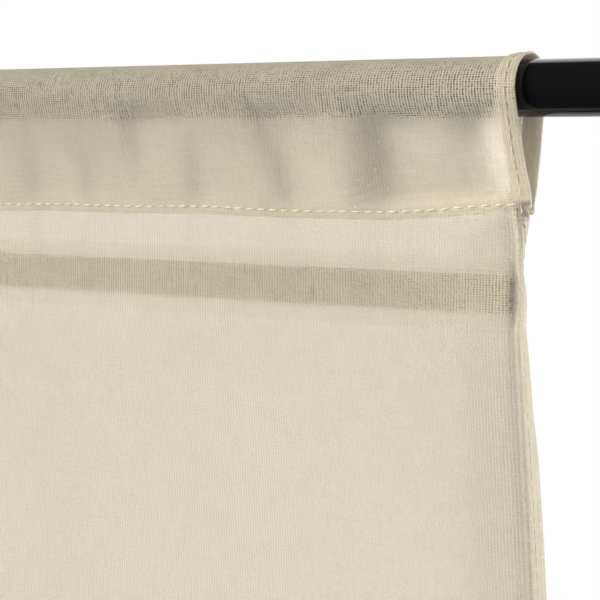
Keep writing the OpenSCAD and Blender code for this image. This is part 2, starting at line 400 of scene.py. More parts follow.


# %% [markdown]
# ## Sewing thread
# Thread is two plies twisted together. Each stitch is a short lens of it, so the twist is a fine slanting
# wave on Object coordinates. The wave raises the plies in the bump and also paints the colour darker in the
# grooves between them, a painted shade. The colour is a little paler than the cloth, which is how the seams
# read in daylight.


# %% Thread finish
def thread_finish():
    material = bpy.data.materials.new("sewing_thread")
    material.use_nodes = True
    tree = material.node_tree
    skin = tree.nodes["Principled BSDF"]
    place = tree.nodes.new("ShaderNodeTexCoord")
    twist = tree.nodes.new("ShaderNodeTexWave")
    twist.bands_direction = "DIAGONAL"
    twist.inputs["Scale"].default_value = 700.0
    twist.inputs["Distortion"].default_value = 1.0
    tree.links.new(place.outputs["Object"], twist.inputs["Vector"])
    # painted shade: the twist's wave darkens the grooves between the plies and pales their crowns
    tree.links.new(mix_colour(tree, twist.outputs["Fac"], (0.72, 0.68, 0.58), (0.84, 0.80, 0.71)),
                   skin.inputs["Base Color"])
    skin.inputs["Roughness"].default_value = 0.6
    skin.inputs["Sheen Weight"].default_value = 0.2
    bump = tree.nodes.new("ShaderNodeBump")
    bump.inputs["Strength"].default_value = 0.4
    bump.inputs["Distance"].default_value = 0.1 * MM
    tree.links.new(twist.outputs["Fac"], bump.inputs["Height"])
    tree.links.new(bump.outputs[0], skin.inputs["Normal"])
    return material


sewing_thread = thread_finish()
print("finishes:", len(bpy.data.materials))

# %% [markdown]
# ## How the cloth hangs
# Cloth that hangs on battens hardly moves, so a simulation would only relax what the seams already decide.
# The shape is written down instead, from the seams: flat at each batten, bowed back a little between two of
# them, creased and turned back along the free side hems, and dented between the rod and the pocket seam,
# where the sewing has drawn it in.

# %% Sizes of the sewing
CLOTH_T = 0.10  # one layer
LAYER = 0.26  # from one folded layer to the next
SIDE_HEM = 7.4
POCKET_H = 43.0
POCKET_TOP = 0.7  # the pocket's top edge above the rod
SEAM_LAP = 2.1
LAP_TUCK = 0.6  # how far the turned edge runs up inside the lap
HEM_HEAD = 8.0  # bottom hem above the bar
HEM_LAP = 2.0
HEM_TUCK = 0.5  # how far the turned edge runs past the hem's seam
WRAP_GAP = 0.85  # cloth off the rod
MOUTH_LIFT = 0.7  # the pocket stands off the rod a little more at its open ends
MOUTH_W = 13.0
PANEL_BOW = 8.4  # how far back the face lies half way between two battens
HEM_CURL = 2.8  # how much further its side edges lie
CURL_W = 14.0
HEM_FLARE = 2.0  # how much wider it is there
FLARE_W = 40.0
BEND_IN = 6.8  # a side hem turns back along this line, from the edge
BEND_R = 0.7
CREASE = 0.55  # a valley just inside the bend, as deep as the cloth beside it stands forward
END_DIP = 1.0  # how far the cloth sinks between a batten's end and the hem
SEAM_PULL = 3.4  # how far the sewn pocket draws each side edge in
PULL_W = 24.0
seam_z = rod_r + POCKET_TOP - POCKET_H
hem_seam_z = bar_high.z + HEM_HEAD
hem_back_y = bar_low.y + bar_high.y


def edge_share(x, width):
    """From 0 inside the blind to 1 at its side edge."""
    return max(0.0, min(1.0, (abs(x) - half_w + width) / width)) ** 2


def hem_depth(x):
    """How much cloth the double side hem adds behind the face."""
    return 2 * LAYER * (1 - smooth_step(SIDE_HEM - 0.4, SIDE_HEM + 1.0, half_w - abs(x)))


def drawn_in(x, share):
    """A place across the blind, drawn towards the middle by a share of the seam's pull."""
    return x - math.copysign(SEAM_PULL * share * edge_share(x, PULL_W), x)


def arch(z):
    """From 0 beside a batten up to 1 half way to the next, as half a sine wave."""
    if z > levels[0] or z < bar_z:
        return 0.0
    fall = (levels[0] - z) / fold_h
    edge = tape_h / 2 / fold_h
    share = max(0.0, min(1.0, (fall - math.floor(fall) - edge) / (1 - 2 * edge)))
    return math.sin(math.pi * share)


# %% [markdown]
# ## Creases beside the side hems
# Just inside the line where a side hem bends, the cloth first stands a little forward, then sinks into a
# narrow valley and comes up to the ridge of the bend. Past the end of a batten nothing stiff holds it up,
# so there it sinks further. Each run is a pair: where a change starts and where it is whole.

# %% Creases
SWELL_RUN = (30.0, 5.0)  # inwards from the bend
VALLEY_RUN = (4.2, 0.7)
RIDGE_RUN = (-0.5, 0.7)
DIP_RUN = (2.9, 0.9)
DIP_HEIGHT = (8.5, 4.5)  # above and below a batten's middle


def hem_crease(x):
    """How far back the face lies beside a side hem."""
    from_bend = half_w - abs(x) - BEND_IN
    valley = smooth_step(*VALLEY_RUN, from_bend) * smooth_step(*RIDGE_RUN, from_bend)
    return CREASE * (valley - smooth_step(*SWELL_RUN, from_bend))


def end_dip(x, z):
    """How much further back the face lies past a batten's end."""
    from_bend = half_w - abs(x) - BEND_IN
    beside = smooth_step(*DIP_HEIGHT, min(abs(z - level) for level in levels))
    return END_DIP * beside * smooth_step(*DIP_RUN, from_bend) * smooth_step(*RIDGE_RUN, from_bend)


# %% [markdown]
# ## Side hems that turn back
# A narrow double hem is stiffer than the sheer cloth beside it, and it turns back close to its inner edge.
# How far it turns changes down each fold: most beside a batten's end, least half way down. The table gives
# degrees against millimetres below a batten, and the seams at the top and the bottom press the hem flat
# again.

# %% Turn of the side hems
HEM_TURNS = [(0, 107), (9, 106), (14, 102), (22, 99), (34, 96), (45, 88), (85, 83), (133, 76), (200, 85),
             (240, 100), (246, 111), (256, 123), (265, 107)]
TURN_DRIFT = 0.08  # the lower folds differ a little from the first
TURN_FREE = (-2.0, 2.5)  # below the pocket seam: where the hem starts to turn, and where it is free
CREASE_FREE = (0.0, 5.0)  # the same for the crease
HEM_FREE = (4.0, 40.0)  # above the bottom hem's seam


def free_of_seams(z, below_pocket):
    """From 0 where a seam presses the cloth flat to 1 where it hangs free."""
    return smooth_step(*below_pocket, seam_z - z) * smooth_step(*HEM_FREE, z - hem_seam_z)


def hem_turn(side, z):
    """How far a side hem has turned back, in radians."""
    folds_down = (levels[0] - z) / fold_h
    below = (folds_down - math.floor(folds_down)) * HEM_TURNS[-1][0]
    for (start, first), (end, last) in zip(HEM_TURNS, HEM_TURNS[1:]):
        if start <= below <= end:
            turn = blend(first, last, (below - start) / (end - start))
    if folds_down > 1:
        turn *= 1 + TURN_DRIFT * math.sin(math.floor(folds_down + 1) * (2.1 + side))
    return math.radians(turn) * free_of_seams(z, TURN_FREE)


# %% [markdown]
# ## Puckers
# A dent is wide at one end and runs out to a point at the other: those that start at the seam point up,
# those that start at the rod point down. Each has its own run on the left and on the right, and a negative
# depth is a bulge. The ones that the photograph shows are placed one by one, the rest repeat their kind
# with a seeded draw.

# %% Places of the puckers
# From the right edge: place at the seam, run to the left, run to the right, depth, wide end, lean to the rod
RIGHT_DENTS = [
    (-42, 11, 32, 7.2, "seam", -8),
    (-62, 12, 8, -1.3, "seam", -2),
    (-17.5, 16, 9, 4.1, "seam", 2),
    (-82, 5, 18, 2.3, "seam", -3),
    (-117, 5, 16, 1.8, "seam", 0),
    (-160, 5, 16, 1.5, "seam", 0),
    (-183, 6, 16, 2.0, "seam", 0),
    (-42, 8, 16, 1.6, "rod", -8),
    (-18, 9, 6, 2.0, "rod", 2),
    (-81, 5, 18, 2.6, "rod", -10),
    (-138, 6, 20, 2.4, "rod", 0),
]
DEEP_DENT = 4.0  # dents deeper than this reach further up
FADE = 1.6
DEEP_FADE = 0.6
POINTED = 0.5  # how much narrower a dent is at its point
OPENS_OVER = 0.16  # share of the height over which a dent opens at its wide end


def draw_dents(start, end, seed):
    """Dents of the same kind along a stretch, as many as fit."""
    draw = random.Random(seed)
    dents = []
    place = start
    while place > end:
        wide = "seam" if len(dents) % 2 else "rod"
        depth = draw.uniform(1.2, 2.6)
        dents.append((place, draw.uniform(5, 7), draw.uniform(13, 18), depth, wide, draw.uniform(-6, 2)))
        place -= draw.uniform(16, 30)
    return dents


front_dents = RIGHT_DENTS + draw_dents(-212, -2 * half_w + 15, 4)
back_dents = draw_dents(-12, -2 * half_w + 15, 9)


def dent_at(x, rise, dents):
    """Depth of the dents at one place; rise is 0 at the seam and 1 at the rod."""
    depth = 0.0
    for place, left, right, deep, wide, lean in dents:
        from_wide = rise if wide == "seam" else 1 - rise
        off = x - half_w - place - lean * rise
        run = (left if off < 0 else right) * (1 - POINTED * from_wide)
        fade = DEEP_FADE if deep > DEEP_DENT else FADE
        swell = smooth_step(0.0, OPENS_OVER, from_wide) * (1 - from_wide) ** fade
        depth += deep * swell * math.exp(-((off / run) ** 2))
    return depth


# %% Room for the puckers
BACK_GIVES = 0.6  # share of a front dent that the back layer follows
BACK_ROOM = 4.0
SEAM_ENDS = 2.0  # how far the pocket seam runs up at its ends
SEAM_SAG = -0.8
SEAM_END_RUN = (10, 60)


def eased(depth, room):
    """A depth that comes up to the room there is, but never through it."""
    return room * (1 - math.exp(-depth / room)) if room > 0 else 0.0


def given_way(x, rise):
    """How far the pocket's back layer moves out of the way of the dents in front of it."""
    return BACK_GIVES * eased(dent_at(x, rise, front_dents), BACK_ROOM) * (1 - rise)


def rod_wall(radius, z):
    """How far back the pocket's front can go at one height before it meets the rod."""
    return -math.sqrt(radius ** 2 - z ** 2) if z > -radius else 2 * (-radius - z)


def seam_rise(x):
    """The pocket seam isn't quite straight: sewing lifts and drops it a little."""
    from_edge = half_w - abs(x)
    lift = blend(SEAM_ENDS, SEAM_SAG, smooth_step(*SEAM_END_RUN, from_edge))
    return lift + 0.25 * math.sin(x / 23.0) + 0.2 * math.sin(x / 9.1)


# %% [markdown]
# ## One line up the cloth
# At any place across the blind, the cloth follows one line: out of the bottom hem's turned edge, down its
# back, round the bar, up the face, over the rod and down to the pocket seam, where its edge is turned in
# again. The number of points on the line is the same everywhere, so that lines side by side make a grid.

# %% Rows along the cloth
FINE_FROM = levels[0] - 95.0
COARSE_ROW = 17.0
FINE_ROW = 3.2
FRONT_ROWS = 18
ROD_ROWS = 20
BACK_ROWS = 12
FOLD_TURNS = (0.25, 0.5, 0.75)  # steps of the half turn round a folded edge


def evenly(start, end, step):
    """Values from start up to, but not with, end."""
    count = max(1, round(abs(end - start) / step))
    return [blend(start, end, i / count) for i in range(count)]


face_rows = evenly(bar_low.z, FINE_FROM, COARSE_ROW) + evenly(FINE_FROM, seam_z, FINE_ROW)


def turned_edge(back_y, strip_y, end_z, rise):
    """A folded edge: round from the back layer to the strip inside it. rise is +1 at a top fold."""
    mid = (back_y + strip_y) / 2
    radius = (back_y - strip_y) / 2
    angles = [math.pi * t for t in FOLD_TURNS]
    return [(mid + radius * math.cos(a), end_z + rise * radius * math.sin(a)) for a in angles]


def bottom_line(x):
    """From the turned edge of the bottom hem down its back and round the bar."""
    hem = hem_depth(x)
    strip_y = hem + LAYER
    back_y = 3 * hem + 2 * LAYER
    top = hem_seam_z + HEM_LAP
    rows = [(strip_y, hem_seam_z - HEM_TUCK), (strip_y, top)]
    rows += reversed(turned_edge(back_y, strip_y, top, 1))
    rows += [(back_y, top), (back_y, hem_seam_z)]
    for s in (0.3, 0.6, 1):
        rows.append((blend(back_y, hem_back_y, smooth_step(0, 1, s)), blend(hem_seam_z, bar_high.z, s)))
    rows += [(hem_back_y, blend(bar_high.z, bar_low.z, 0.5)), (hem_back_y, bar_low.z)]
    half = hem_back_y / 2
    for a in (0.5, 1.05, 1.57, 2.1, 2.64):
        rows.append((half + half * math.cos(a), bar_low.z - half * math.sin(a)))
    return [(x, y, z) for y, z in rows]


# %% The face
WAVE = 0.5  # a slow swell across the face, so that no two places are alike
CREASE_FADE = 0.6  # how much of the crease is gone half way between two battens
PUCKER_RUN = 8.0  # below the pocket seam, the puckers fade to a third over this length
CORNER_DIP = 0.6  # a small dip below each end of the seam
CORNER_IN = 9.0
CORNER_DOWN = 4.0
CORNER_SIZE = (2.6, 6.0)
PULL_RUN = 6.0  # and the seam's pull over this one


def drawn_below(x, z):
    """How far back the sewing draws the face just below the pocket seam."""
    if z <= levels[0]:
        return 0.0
    below = seam_z - z
    under_dents = eased(0.5 * dent_at(x, 0.2, front_dents), 1.0) * smooth_step(1.0, 7.0, below)
    across = (half_w - abs(x) - CORNER_IN) / CORNER_SIZE[0]
    down = (below - CORNER_DOWN) / CORNER_SIZE[1]
    return under_dents * math.exp(-below / PUCKER_RUN) + CORNER_DIP * math.exp(-(across ** 2) - down ** 2)


def face_point(x, z):
    """The face between the bottom hem and the pocket seam."""
    side = math.copysign(1, x)
    rise = arch(z)
    bowed = rise * (PANEL_BOW + HEM_CURL * edge_share(x, CURL_W))
    creased = hem_crease(x) * free_of_seams(z, CREASE_FREE) * (1 - CREASE_FADE * rise)
    wave = WAVE * rise * math.sin(x / 61.0 + z / 97.0)
    y = bowed + creased + end_dip(x, z) + wave + drawn_below(x, z)
    pulled = drawn_in(x, math.exp(-(((z - seam_z) / PULL_RUN) ** 2)))
    return pulled + side * HEM_FLARE * rise ** 2 * edge_share(x, FLARE_W), y, z


# %% The pocket
BELLY = 0.5  # front and back of the pocket belly out a little
FRONT_ROOM = 0.8  # share of the way to the back layer that a front dent may take
BACK_SHARE = 0.15  # and a back dent of the way to the front
MOUTH_PULL = 1.25  # behind the rod the edges are drawn in a little more than at the seam


def pocket_line(x):
    """From the pocket seam up the front, over the rod and down the back to the turned edge."""
    hem = hem_depth(x)
    strip_y = hem + LAYER
    back_y = 3 * hem + 2 * LAYER
    radius = rod_r + WRAP_GAP + hem + MOUTH_LIFT * edge_share(x, MOUTH_W)
    seam = seam_z + seam_rise(x)
    front_a = math.radians(270) - math.acos(radius / -seam)
    back_a = math.atan2(seam, back_y) + math.acos(radius / math.hypot(seam, back_y))
    line = []
    for s in evenly(0, 1, 1 / FRONT_ROWS):
        z = blend(seam, radius * math.sin(front_a), s)
        y = blend(0, radius * math.cos(front_a), s) - BELLY * math.sin(math.pi * s)
        room = min(FRONT_ROOM * blend(back_y, 2 * radius, s) + given_way(x, s), rod_wall(radius, z) - y)
        line.append((drawn_in(x, 1.0), y + eased(dent_at(x, s, front_dents), room), z))
    for a in evenly(front_a, back_a, (front_a - back_a) / ROD_ROWS):
        share = (front_a - a) / (front_a - back_a)
        line.append((drawn_in(x, blend(1.0, MOUTH_PULL, share)), radius * math.cos(a), radius * math.sin(a)))
    for s in evenly(0, 1, 1 / BACK_ROWS):
        apart = blend(2 * radius, back_y, s)
        y = blend(radius * math.cos(back_a), back_y, s)
        y -= eased(dent_at(x, 1 - s, back_dents), BACK_SHARE * apart)
        y += BELLY * math.sin(math.pi * s) + given_way(x, 1 - s)
        line.append((drawn_in(x, blend(MOUTH_PULL, 1.0, s)), y, blend(radius * math.sin(back_a), seam, s)))
    low = seam - SEAM_LAP
    rows = [(back_y, seam), (back_y, low)]
    rows += turned_edge(back_y, strip_y, low, -1)
    rows += [(strip_y, low), (strip_y, low + LAP_TUCK)]
    return line + [(drawn_in(x, 1.0), y, z) for y, z in rows]


# %% The whole line
LAP_ROWS = 7  # from the pocket seam to the end of the turned edge


def cloth_line(x):
    """Points up the cloth's middle at one place across the blind, as if the side hems lay flat."""
    face = [face_point(x, z) for z in face_rows]
    return [Vector(p) for p in bottom_line(x) + face + pocket_line(x)]


def out_of_line(line):
    """For each point of a line, the way out of the cloth's face."""
    ways = []
    for j in range(len(line)):
        run = line[min(j + 1, len(line) - 1)] - line[max(j - 1, 0)]
        ways.append(Vector((0, -run.z, run.y)).normalized())
    return ways


middle_line = cloth_line(0.0)
face_start = len(bottom_line(0.0))
panel_rows = range(face_start, face_start + len(face_rows))
seam_front = panel_rows.stop
seam_back = len(middle_line) - LAP_ROWS
print("rows along the cloth:", len(middle_line))

# %% [markdown]
# ## Columns across the cloth
# Across the blind the face is plain, and at each side the cloth turns back twice to make the hem. A column
# is an inset from the edge and a depth behind the face, so the hem is the same sheet going on round its
# fold.

# %% Columns across the cloth
EDGE_INSETS = (0.0, 1.4, 2.8, 4.2, 5.1, 5.5, 5.8, 6.1, 6.4, 6.8, 7.2, 7.6, 8.0, 8.8, 9.7, 10.6, 11.6)
EDGE_ZONE = 12.6
BEND_EASE = 3.0  # the bend is rounder than elsewhere beside the pocket seam
EASE_RUN = 5.0
FINE_COLUMNS = 215.0  # from the right edge, where the photograph looks
FINE_STEP = 2.1
COARSE_STEP = 3.8
fold_angles = [math.pi * t for t in FOLD_TURNS]
hem_columns = [(-LAYER * math.sin(a), LAYER * (1 - math.cos(a))) for a in fold_angles]
hem_columns += [(inset, 2 * LAYER) for inset in (0.0, 2.2, 4.2, 5.2, 5.8, 6.4, 7.0, SIDE_HEM - 0.1)]
hem_columns += [(SIDE_HEM + 0.1, 1.5 * LAYER)]
hem_columns += [(inset, LAYER) for inset in (SIDE_HEM - 0.2, 6.6, 5.6, 4.2, 1.2)]
inner = half_w - EDGE_ZONE
fine_from = half_w - FINE_COLUMNS
face_columns = [inset - half_w for inset in EDGE_INSETS]
face_columns += evenly(-inner, fine_from, COARSE_STEP) + evenly(fine_from, inner, FINE_STEP)
face_columns += [half_w - inset for inset in reversed(EDGE_INSETS)]
columns = [(-1, inset, depth) for inset, depth in reversed(hem_columns)]
columns += [(math.copysign(1, x), half_w - abs(x), 0.0) for x in face_columns]
columns += [(1, inset, depth) for inset, depth in hem_columns]


def column_points(side, inset, depth):
    """One column of the sheet, depth behind the face: its points, and the ways out of the face."""
    line = cloth_line(side * (half_w - max(inset, 0.0)))
    ways = out_of_line(line)
    beyond = Vector((side * max(-inset, 0.0), 0, 0))
    points = [p + beyond - way * depth for p, way in zip(line, ways)]
    run = BEND_IN - inset
    if run > 0:
        bend_line = cloth_line(side * (half_w - BEND_IN))
        for j in panel_rows:
            turn = hem_turn(side, bend_line[j].z)
            radius = BEND_R + BEND_EASE * math.exp((bend_line[j].z - seam_z) / EASE_RUN)
            at = min(run / radius, turn)
            rest = max(run - radius * turn, 0.0)
            across = radius * math.sin(at) + rest * math.cos(turn)
            back = radius * (1 - math.cos(at)) + rest * math.sin(turn)
            ways[j] = Vector((side * math.sin(at), -math.cos(at), 0))
            points[j] = bend_line[j] + Vector((side * across, back, 0)) - ways[j] * depth
    return points, ways


def run_lengths(points):
    """Distance along a chain of points, from its first."""
    total = [0.0]
    for a, b in zip(points, points[1:]):
        total.append(total[-1] + (b - a).length)
    return total


# %% Hang the cloth
def hang_cloth():
    """The sheet itself, and the size of its flat cut in metres."""
    grid = [column_points(*column)[0] for column in columns]
    u = run_lengths([points[seam_front] for points in grid])
    v = run_lengths(middle_line)
    bm = bmesh.new()
    last_i = len(grid) - 1
    last_j = len(middle_line) - 1
    bmesh.ops.create_grid(bm, x_segments=last_i, y_segments=last_j, size=0.5)
    uv_layer = bm.loops.layers.uv.verify()
    place = {}
    for vert in bm.verts:
        i = round((vert.co.x + 0.5) * last_i)
        j = round((vert.co.y + 0.5) * last_j)
        place[vert] = (u[i] * MM, v[j] * MM)
        vert.co = grid[i][j]
    for face in bm.faces:
        for loop in face.loops:
            loop[uv_layer].uv = place[loop.vert]
    cloth = finish_piece(bm, "hung_cloth", sheer_cloth, ["blind_cloth"])
    cloth.data.uv_layers[0].name = "cloth"
    thick = cloth.modifiers.new("thickness", "SOLIDIFY")
    thick.thickness = CLOTH_T * MM
    thick.offset = 0.0
    print(f"cloth cut {u[-1]:.0f} x {v[-1]:.0f} mm, {len(cloth.data.polygons)} faces")
    return cloth, (u[-1] * MM, v[-1] * MM)


hung_cloth, cloth_cut = hang_cloth()

# %% [markdown]
# ## Tapes over the battens
# Each batten lies in a tunnel: a narrow tape sewn flat to the cloth's back above and below it. A tape is a
# strip of weave, so it starts as a flat grid and its middle rows are lifted over the batten.

# %% Lay the tapes
TAPE_T = 0.12
TAPE_ROWS = 22
TAPE_STEP = 6.0
TUNNEL_RUN = 1.6
TUNNEL_EASE = 0.3
TAPE_SLACK = 0.12


def lay_tape(name, batten):
    """One tape, flat at its edges and lifted over its batten."""
    low, high = box_mm(name)
    batten_low, batten_high = box_mm(batten)
    flat_y = low.y + TAPE_T / 2
    back_y = high.y - TAPE_T / 2
    half_tunnel = (batten_high.z - batten_low.z) / 2 + TUNNEL_EASE
    wide = high.x - low.x
    tall = high.z - low.z
    bm = bmesh.new()
    steps = round(wide / TAPE_STEP)
    bmesh.ops.create_grid(bm, x_segments=steps, y_segments=TAPE_ROWS, size=0.5)
    uv_layer = bm.loops.layers.uv.verify()
    for face in bm.faces:
        for loop in face.loops:
            loop[uv_layer].uv = (loop.vert.co.x * wide * MM, loop.vert.co.y * tall * MM)
    for vert in bm.verts:
        x = blend(low.x, high.x, vert.co.x + 0.5)
        z = blend(low.z, high.z, 0.5 - vert.co.y)
        off = abs(z - (low.z + high.z) / 2)
        lifted = 1 - smooth_step(half_tunnel, half_tunnel + TUNNEL_RUN, off)
        slack = TAPE_SLACK * math.sin(x / 17.0 + z) * lifted
        vert.co = (x, blend(flat_y, back_y, lifted) + slack, z)
    tape = finish_piece(bm, name.replace("casing", "tape"), casing_tape, [name])
    tape.data.uv_layers[0].name = "cloth"
    thick = tape.modifiers.new("thickness", "SOLIDIFY")
    thick.thickness = TAPE_T * MM
    thick.offset = 0.0
    return tape


tapes = [lay_tape(casing, batten) for casing, batten in zip(CASINGS, BATTENS)]
print("tapes:", len(tapes))

# %% [markdown]
# ## Stitches
# A straight seam is a row of short threads that lie on the cloth and dip into it at both ends. One lens of
# a few faces is placed again and again along a chain of points, turned to follow it and pressed half into
# the cloth. The lens is made once, by an operator, and every stitch is a moved copy of it, because an
# operator on a growing bmesh gets slower with each call.

# %% Sew along a chain of points
bm = bmesh.new()
bmesh.ops.create_uvsphere(bm, u_segments=6, v_segments=5, radius=1.0)
stitch_lens = bpy.data.meshes.new("stitch_lens")
bm.to_mesh(stitch_lens)
bm.free()


def stitch_row(bm, points, ways, pitch, length, width, seed):
    """Adds a row of stitches along points, each lying against the way out of the cloth."""
    draw = random.Random(seed)
    runs = run_lengths(points)
    place = pitch / 2
    j = 0
    while place < runs[-1] - pitch / 2:
        while runs[j + 1] < place:
            j += 1
        share = (place - runs[j]) / max(runs[j + 1] - runs[j], 1e-6)
        spot = points[j].lerp(points[j + 1], share)
        out = ways[j].lerp(ways[j + 1], share).normalized()
        along = (points[j + 1] - points[j]).normalized()
        across = along.cross(out).normalized()
        along = (out.cross(across) + across * draw.uniform(-0.07, 0.07)).normalized()
        across = along.cross(out).normalized()
        turn = Matrix((across, out, along)).transposed().to_4x4()
        size = Matrix.Diagonal((width / 2, width * 0.36, length * draw.uniform(0.92, 1.05) / 2, 1))
        stitch = stitch_lens.copy()
        stitch.transform(Matrix.Translation(spot + out * width * 0.12) @ turn @ size)
        bm.from_mesh(stitch)
        bpy.data.meshes.remove(stitch)
        place += pitch * draw.uniform(0.95, 1.05)


def sew(name, rows):
    """One piece of thread from several rows of stitches."""
    bm = bmesh.new()
    for row in rows:
        stitch_row(bm, *row)
    piece = finish_piece(bm, name, sewing_thread)
    print(name, len(piece.data.polygons), "faces")
    return piece


# %% Side hems
HEM_STITCH = 4.1  # from the edge of the cloth
HEM_THREAD = (4.2, 3.5, 0.46)  # pitch, length and width of a stitch


def hem_row(side, rows, depth, seed):
    """Stitches up one side hem, on the face or, with a depth, on the hem's back."""
    points, ways = column_points(side, HEM_STITCH, depth)
    outward = 1 if depth < 0 else -1
    return [points[j] for j in rows], [ways[j] * outward for j in rows], *HEM_THREAD, seed


hem_rows = [hem_row(side, range(face_start, seam_back), -CLOTH_T / 2, 3 + side) for side in (-1, 1)]
hem_rows += [hem_row(side, panel_rows, 2 * LAYER + CLOTH_T / 2, 6 + side) for side in (-1, 1)]
hem_stitches = sew("side_hem_stitches", hem_rows)

# %% Pocket seam and bottom hem
SEAM_THREAD = (4.3, 3.0, 0.6)
SEAM_END = 1.5  # from the edge of the cloth to a seam's first stitch
SEAM_STEP = 2.2
seam_lines = [cloth_line(x) for x in evenly(-half_w + SEAM_END, half_w - SEAM_END, SEAM_STEP)]
seam_ways = [out_of_line(line) for line in seam_lines]
hem_back = 6  # the row on the hem's back at its seam
hem_front = min(panel_rows, key=lambda j: abs(middle_line[j].z - hem_seam_z))


def seam_row(row, seed):
    """Stitches across the blind along one row of the cloth."""
    ways = [way[row] for way in seam_ways]
    points = [line[row] + way * CLOTH_T / 2 for line, way in zip(seam_lines, ways)]
    return points, ways, *SEAM_THREAD, seed


seam_stitches = sew("seam_stitches",
                    [seam_row(row, 20 + row) for row in (seam_front, seam_back, hem_back, hem_front)])

# %% Tape seams
TAPE_SEAM = 1.5  # from the tape's edge
TAPE_THREAD = (4.3, 3.2, 0.36)


def tape_row(low, high, z):
    """Stitches along one edge of a tape, on its back."""
    points = [Vector((x, low.y + TAPE_T, z)) for x in evenly(low.x, high.x, TAPE_STEP)]
    return points, [Vector((0, 1, 0))] * len(points), *TAPE_THREAD, round(-z)


tape_boxes = [box_mm(casing) for casing in CASINGS]
tape_stitches = sew("tape_stitches",
                    [tape_row(low, high, z) for low, high in tape_boxes
                     for z in (low.z + TAPE_SEAM, high.z - TAPE_SEAM)])

# %% [markdown]
# ## Rod and plugs
# A tube is a turned shape, so its section is drawn once, with small chamfers at its ends, and spun round
# the rod's axis. The plugs are spun the same way: a flange with a rounded rim and a spigot inside the tube.

# %% Spin the rod and its plugs
SPIN_STEPS = 96
TUBE_WALL = 1.0


def spin_profile(bm, profile):
    """Spins a closed outline of (x, radius) points round the X axis."""
    verts = [bm.verts.new((x, 0, r)) for x, r in profile]
    edges = [bm.edges.new(pair) for pair in zip(verts, verts[1:] + verts[:1])]
    bmesh.ops.spin(bm, geom=verts + edges, cent=(0, 0, 0), axis=(1, 0, 0), dvec=(0, 0, 0),
                   angle=math.tau, steps=SPIN_STEPS, use_merge=True)
    bmesh.ops.remove_doubles(bm, verts=bm.verts, dist=0.0005)
    bmesh.ops.recalc_face_normals(bm, faces=bm.faces)


CHAMFER = 0.3
end_x = rod_high.x
bore = rod_r - TUBE_WALL
bm = bmesh.new()
spin_profile(bm, [(-end_x, rod_r - CHAMFER), (-end_x + CHAMFER, rod_r), (end_x - CHAMFER, rod_r),
                  (end_x, rod_r - CHAMFER), (end_x, bore), (-end_x, bore)])
finish_piece(bm, "rod_tube", rod_paint, ["curtain_rod"], sharp_deg=30)

RIM_R = 0.8
PLUG_EASE = 0.05
OFF_AXIS = 0.01  # a spun outline stays just off its axis
RIM_ANGLES = (0.0, 0.4, 0.8, 1.2, math.pi / 2)
for node in ("rod_plug_left", "rod_plug_right"):
    low, high = box_mm(node)
    side = math.copysign(1, low.x)
    tip = max(abs(low.x), abs(high.x))
    root = min(abs(low.x), abs(high.x))
    flange_r = (high.z - low.z) / 2
    spigot_r = bore - PLUG_EASE
    profile = [(tip, OFF_AXIS)]
    for a in RIM_ANGLES:
        profile.append((tip - RIM_R + RIM_R * math.cos(a), flange_r - RIM_R + RIM_R * math.sin(a)))
    profile += [(end_x, flange_r), (end_x, spigot_r), (root, spigot_r), (root, OFF_AXIS)]
    bm = bmesh.new()
    spin_profile(bm, [(side * x, r) for x, r in profile])
    finish_piece(bm, node + "_cap", plug_plastic, [node], sharp_deg=40)
print("rod", round(2 * end_x), "mm long,", round(2 * rod_r), "mm thick")

# %% [markdown]
# ## Cord rings
# Small plastic rings are tacked to the tapes, two at each level, to guide the lift cords of such a blind. A
# ring is a circle spun round its own axis, and a tack is three turns of thread round the ring's top.

# %% Rings and their tacks
RING_STEPS = 40
TACK_R = 0.2
TACK_TURNS = (-0.55, 0.0, 0.55)
TACK_LEAN = -0.15  # towards the tape


def spin_ring(bm, centre, axis, ring_r, wire_r, steps, sides):
    """A round ring about an axis through centre."""
    start = axis.orthogonal().normalized()
    turn = Matrix((start, axis.normalized(), start.cross(axis).normalized())).transposed().to_4x4()
    at = Matrix.Translation(centre + start * ring_r) @ turn
    made = bmesh.ops.create_circle(bm, segments=sides, radius=wire_r, matrix=at)
    edges = list({edge for vert in made["verts"] for edge in vert.link_edges})
    bmesh.ops.spin(bm, geom=made["verts"] + edges, cent=centre, axis=axis, dvec=(0, 0, 0),
                   angle=math.tau, steps=steps, use_merge=True)


tack_mesh = bmesh.new()
for node in RINGS:
    low, high = box_mm(node)
    wire_r = (high.y - low.y) / 2
    ring_r = (high.z - low.z) / 2 - wire_r
    bm = bmesh.new()
    for x in (low.x + ring_r + wire_r, high.x - ring_r - wire_r):
        centre = Vector((x, (low.y + high.y) / 2, (low.z + high.z) / 2))
        spin_ring(bm, centre, Vector((0, 1, 0)), ring_r, wire_r, RING_STEPS, 12)
        for shift in TACK_TURNS:
            top = centre + Vector((shift, TACK_LEAN, math.sqrt(ring_r ** 2 - shift ** 2)))
            spin_ring(tack_mesh, top, Vector((1, 0, 0)), wire_r + TACK_R, TACK_R, 16, 6)
    bmesh.ops.recalc_face_normals(bm, faces=bm.faces)
    finish_piece(bm, node + "_pair", ring_plastic, [node])
bmesh.ops.recalc_face_normals(tack_mesh, faces=tack_mesh.faces)
finish_piece(tack_mesh, "ring_tacks", sewing_thread)

# %% [markdown]
# ## Battens and bar
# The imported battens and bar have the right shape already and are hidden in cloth, so they only get their
# finishes.

# %% Finish the hidden strips
for name in BATTENS:
    nodes[name].data.materials.clear()
    nodes[name].data.materials.append(batten_plastic)
nodes["bottom_bar"].data.materials.clear()
nodes["bottom_bar"].data.materials.append(bar_metal)

# %% [markdown]
# ## Studio
# The photograph is a close view on white: a backdrop behind the blind, which glows through the cloth and
# edges the rod, a large warm lamp far off to the left and above, and a small one at the right, just behind
# the blind's plane, which lights the turned hem. The world is bright where the backdrop stands and dim
# elsewhere. The camera sees it white in the open and dimmer through the weave, where a cut-out photograph
# still shows its own greyer backdrop.

